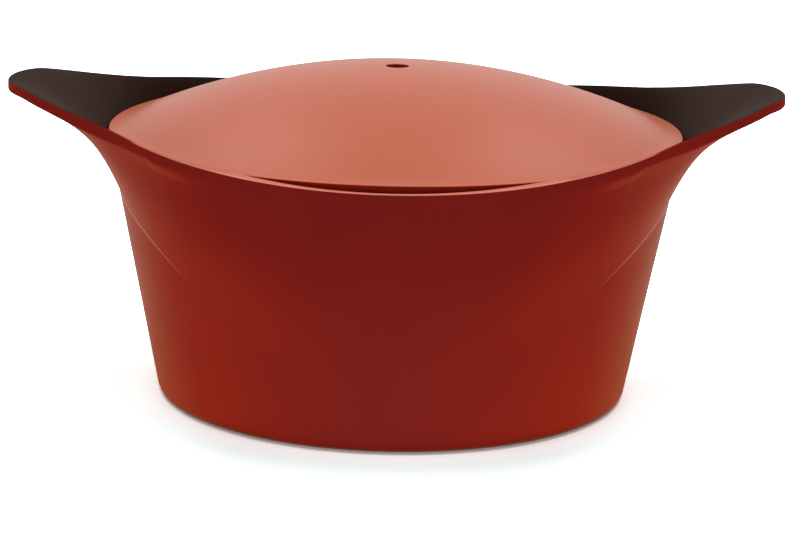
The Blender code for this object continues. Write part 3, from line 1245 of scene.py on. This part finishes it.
@dataclass(frozen=True)
class Softbox:
    """Square soft light that faces the lid, by its middle, the length of its side and its watts."""

    name: str
    place: Spot
    side: float
    power: float

    def hang(self) -> None:
        """Build the light and turn it to the pot."""
        light = bpy.data.lights.new(self.name, "AREA")
        light.size = self.side
        light.energy = self.power
        turn = Vector(self.place).to_track_quat("Z", "Y")
        add_object(self.name, light).matrix_world = Matrix.LocRotScale(Vector(self.place), turn, None)


@dataclass
class Studio:
    """White floor, soft light from above, below and all round, and the camera."""

    floor_half: float = 6.0
    glow_range: Pair = (0.13, 0.4)
    glows: Pair = (1.35, 0.85)
    # Painted contact shadow: a dark red-brown ring round the foot, in the floor's colour and glow.
    contact_shadow_range: Pair = (0.0969, 0.0993)
    contact_shadow_share: float = 0.33
    contact_shadow_centre: Spot = (0.0, -0.0045, 0.0)
    contact_shadow_colour: Colour = (0.34, 0.15, 0.1, 1.0)
    # Painted shadow gradient: the floor a little brighter just outside the ring, a little darker further
    # out.
    painted_shadow_range: Pair = (0.103, 0.12)
    painted_shadow_gains: Pair = (1.15, 0.93)
    seen_colour: Colour = (1.5, 1.78, 1.78, 1.0)
    # Painted side light: a brighter floor colour beside the pot, and far out, which lifts the shadow there.
    painted_side_light_colour: Colour = (2.12, 2.85, 2.85, 1.0)
    painted_side_light_range: Pair = (0.05, 0.135)
    open_range: Pair = (0.135, 0.2)
    low_light: float = 1.0
    high_range: Pair = (0.05, 0.55)
    side_light_range: Pair = (-0.9, 0.1)
    high_lights: Pair = (0.12, 0.74)
    softboxes: tuple[Softbox, ...] = (
        Softbox("softbox", (0.0, -0.1, 1.5), 1.4, 16.0),
        Softbox("softbox_right", (0.48, 0.92, 1.28), 0.5, 1.6),
        Softbox("softbox_left", (-0.48, 0.92, 1.28), 0.5, 1.6),
    )
    eye_distance: float = 1.05
    eye_height: float = 0.3063
    eye_side: float = 0.0029
    tilt: float = 0.2385
    roll: float = 0.0215
    focal_pixels: float = 2539.5
    image_width: float = 800.0
    sensor_width: float = 36.0
    view_depth: float = 24.0

    def build_floor(self) -> None:
        """Build the floor: it glows for the light on the pot, and shows the camera a white with lamp and
        painted shade.
        """
        half = self.floor_half
        corners = [(-half, -half, 0.0), (half, -half, 0.0), (half, half, 0.0), (-half, half, 0.0)]
        mesh = bpy.data.meshes.new("floor")
        mesh.from_pydata(corners, [], [(0, 1, 2, 3)])
        floor = add_object("floor", mesh)
        material = bpy.data.materials.new("studio_floor")
        material.use_nodes = True
        material.node_tree.nodes.clear()
        material.cycles.emission_sampling = "NONE"
        sheet = Sheet(material.node_tree)
        rays = sheet.add("ShaderNodeLightPath").outputs
        mirrored = sheet.maths("MAXIMUM", rays["Is Glossy Ray"], rays["Is Transmission Ray"])
        place = sheet.add("ShaderNodeTexCoord").outputs["Object"]
        away, beyond = sheet.distance(place), sheet.distance(place, self.contact_shadow_centre)
        # Painted contact shadow: near the foot the floor's colour goes to the shadow colour.
        clear = sheet.ranged(beyond, self.contact_shadow_range, (self.contact_shadow_share, 1.0))
        # Painted side light lifts the floor's colour beside the pot and far out.
        aside = sheet.maths("ABSOLUTE", sheet.axes(place)["X"])
        sideways, opened = sheet.ranged(aside, self.painted_side_light_range), sheet.ranged(away, self.open_range)
        beside = sheet.maths("MAXIMUM", sideways, opened)
        seen = sheet.blended(beside, self.seen_colour, self.painted_side_light_colour)
        # Painted shadow gradient by the distance from the axis.
        gain = {"Vector": seen, "Scale": sheet.ranged(away, self.painted_shadow_range, self.painted_shadow_gains)}
        lifted = sheet.add("ShaderNodeVectorMath", gain, operation="SCALE").outputs["Vector"]
        plain = sheet.blended(mirrored, lifted, WHITE)
        colour = sheet.blended(clear, self.contact_shadow_colour, plain)
        diffuse = sheet.add("ShaderNodeBsdfDiffuse", {"Color": colour})
        # The glow is dimmed in the painted contact shadow too.
        strength = sheet.maths("MULTIPLY", clear, sheet.ranged(away, self.glow_range, self.glows))
        glow = sheet.add("ShaderNodeEmission", {"Strength": strength})
        kinds = {0: rays["Is Diffuse Ray"], 1: diffuse.outputs[0], 2: glow.outputs[0]}
        mixed = sheet.add("ShaderNodeMixShader", kinds)
        sheet.add("ShaderNodeOutputMaterial", {"Surface": mixed.outputs[0]})
        mesh.materials.append(material)

    def build_light(self) -> None:
        """Light from the world: plain near the floor and dimmer higher up, most of all at the front.

        The camera sees it plain all over, and so does the gloss.
        """
        world = bpy.data.worlds.new("studio")
        bpy.context.scene.world = world
        world.use_nodes = True
        world.node_tree.nodes.clear()
        sheet = Sheet(world.node_tree)
        direction = sheet.add("ShaderNodeTexCoord").outputs["Generated"]
        apart = sheet.axes(direction)
        high = sheet.ranged(apart["Y"], self.side_light_range, self.high_lights)
        above = sheet.ranged(apart["Z"], self.high_range)
        gain = sheet.maths("SUBTRACT", high, self.low_light)
        plain = sheet.maths("MULTIPLY_ADD", gain, above, self.low_light)
        rays = sheet.add("ShaderNodeLightPath").outputs
        through = sheet.maths("MAXIMUM", rays["Is Glossy Ray"], rays["Is Transmission Ray"])
        seen = sheet.maths("MAXIMUM", through, rays["Is Camera Ray"])
        inputs = {MIX_SHARE: seen, NUMBERS_IN[0]: plain, NUMBERS_IN[1]: 1.0}
        strength = sheet.add("ShaderNodeMix", inputs, data_type="FLOAT").outputs[NUMBER_OUT]
        background = sheet.add("ShaderNodeBackground", {"Strength": strength})
        sheet.add("ShaderNodeOutputWorld", {"Surface": background.outputs[0]})

    def build_camera(self) -> None:
        """Place the camera of the photograph: tilted down and rolled a little."""
        data = bpy.data.cameras.new("camera")
        data.sensor_width = self.sensor_width
        data.lens = self.focal_pixels * self.sensor_width / self.image_width
        data.clip_end = self.view_depth
        sin_tilt, cos_tilt = math.sin(self.tilt), math.cos(self.tilt)
        sin_roll, cos_roll = math.sin(self.roll), math.cos(self.roll)
        right = (cos_roll, sin_roll * sin_tilt, sin_roll * cos_tilt)
        upward = (-sin_roll, cos_roll * sin_tilt, cos_roll * cos_tilt)
        backward = (0.0, -cos_tilt, sin_tilt)
        place = (self.eye_side, -self.eye_distance, self.eye_height)
        rows = [(*axes, spot) for axes, spot in zip(zip(right, upward, backward), place)]
        camera = add_object("camera", data)
        camera.matrix_world = Matrix(rows + [(0.0, 0.0, 0.0, 1.0)])
        bpy.context.scene.camera = camera

    def build(self) -> None:
        """Build floor, lights and camera, and set the plain view."""
        self.build_floor()
        self.build_light()
        for softbox in self.softboxes:
            softbox.hang()
        self.build_camera()
        bpy.context.scene.view_settings.view_transform = "Standard"


def main() -> None:
    """Build the node groups, the pot, the lid, the base disc and the studio."""
    logging.basicConfig(level=logging.INFO, format="%(name)s: %(message)s")
    for build in (build_grain, build_painted_light, build_turned):
        build()
    red = Enamel(
        name="red_enamel",
        colour=(0.195, 0.0125, 0.01, 1.0),
        # Painted light: the rim's land and edge highlights and the crease's glint.
        painted_light_colour=(0.73, 0.25, 0.18, 1.0),
        # Painted sheen seen aslant, warm and then grazing.
        sheen_colour=(0.275, 0.014, 0.0035, 1.0),
        grazing_sheen_colour=(0.35, 0.053, 0.0075, 1.0),
        roughness=(0.41, 0.43),
        ior=1.08,
        break_up=0.15,
        speck_share=0.01,
        tone_depth=0.06,
        turned_depth=0.0001,
        grain_depth=0.000012,
    )
    lid_paint = Enamel(
        name="lid_enamel",
        colour=(0.235, 0.011, 0.004, 1.0),
        # Painted light: the lit top of the lid; the lid's own paint is the deep red above.
        painted_light_colour=(0.553, 0.137, 0.064, 1.0),
        sheen_colour=(0.235, 0.011, 0.004, 1.0),
        grazing_sheen_colour=(0.235, 0.011, 0.004, 1.0),
        roughness=(0.295, 0.315),
        ior=1.245,
        break_up=0.05,
        speck_share=0.06,
        tone_depth=0.03,
        turned_depth=0.0,
        grain_depth=0.00001,
    )
    black = Coating(
        name="black_coating",
        colour=(0.021, 0.0085, 0.0055, 1.0),
        # Painted sheen towards the ear tips and painted highlight on the ears' edges.
        coat_sheen_colour=(0.07, 0.05, 0.042, 1.0),
        roughness=(0.58, 0.62),
        ior=1.06,
    )
    steel = TurnedSteel(name="base_steel", colour=(0.56, 0.57, 0.58, 1.0), roughness=(0.36, 0.26))
    sizes = FrameSizes.measured()
    pot = Pot(sizes, SaddleRim(sizes))
    coat = black.material()
    pot.build(red.material(), coat)
    Lid(sizes, pot).build(lid_paint.material(), coat)
    BaseDisc(sizes).build(steel.material())
    Studio().build()


if __name__ == "__main__":
    main()
